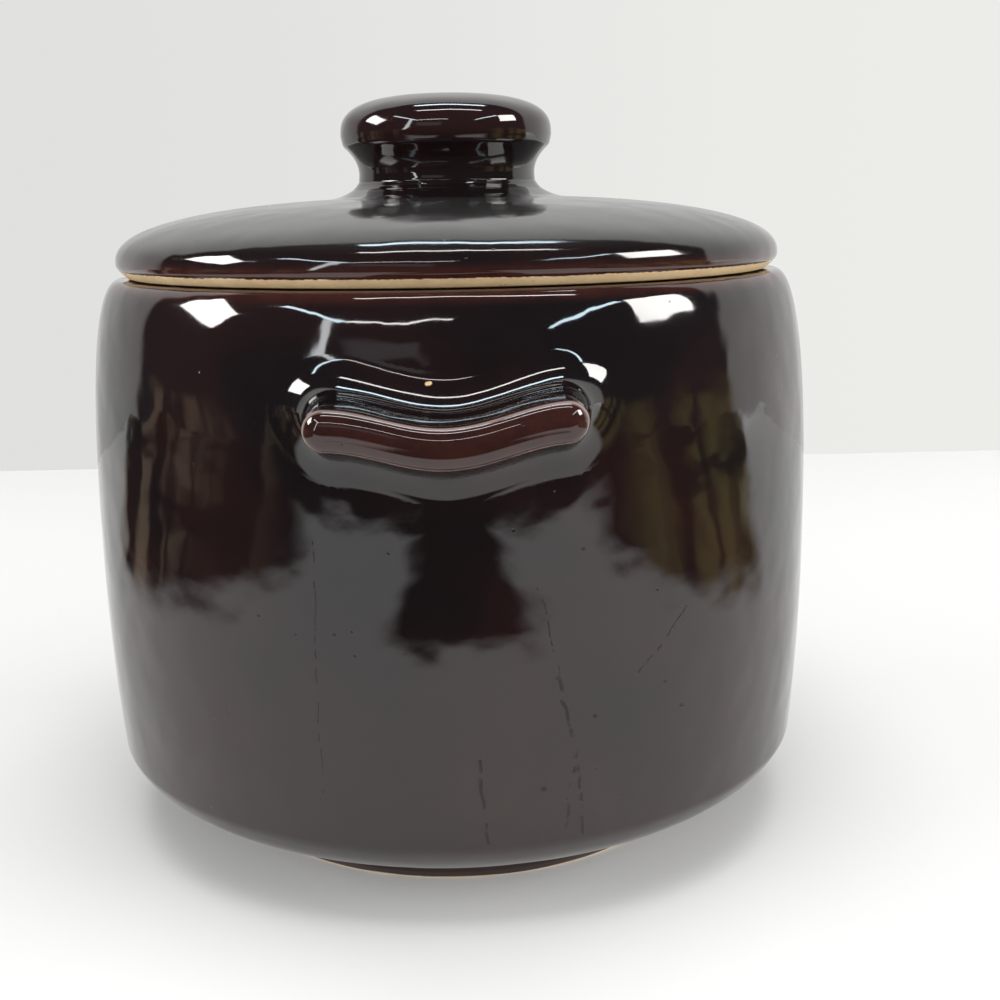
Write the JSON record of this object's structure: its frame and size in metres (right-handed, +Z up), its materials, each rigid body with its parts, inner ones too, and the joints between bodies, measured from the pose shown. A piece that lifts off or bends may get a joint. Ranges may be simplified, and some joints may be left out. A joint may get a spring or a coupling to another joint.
{
  "type": "bean pot",
  "caption": "Barrel-shaped glazed stoneware bean pot with a wavy lug handle at each end and a domed, knobbed lid that lifts off and locates by a flange.",
  "frame": {"origin": "middle of the foot, on the plane that the pot stands on", "axes": "+Z up along the pot's turning axis; the lug handles lie on -Y and +Y; +X is to the right of someone facing the front lug"},
  "size_m": [0.19, 0.234, 0.1903],
  "materials": {
    "pot_glaze": "glossy dark brown glaze over tan stoneware, bare at the foot",
    "handle_glaze": "glossy brown glaze, redder where it runs thin over the nose",
    "lid_glaze": "glossy dark brown glaze, bare tan clay on the rim, seat and flange",
    "knob_glaze": "glossy dark brown glaze, redder on the cap's side"
  },
  "bodies": {
    "pot": {"pot_body": "pot_glaze", "handle_front": "handle_glaze", "handle_rear": "handle_glaze"},
    "lid": {"lid": "lid_glaze", "lid_knob": "knob_glaze"}
  },
  "joints": [
    {"name": "lid_lift", "type": "slide", "parent": "pot", "child": "lid", "axis": [0, 0, 1], "range_m": [0, 0.08]}
  ]
}
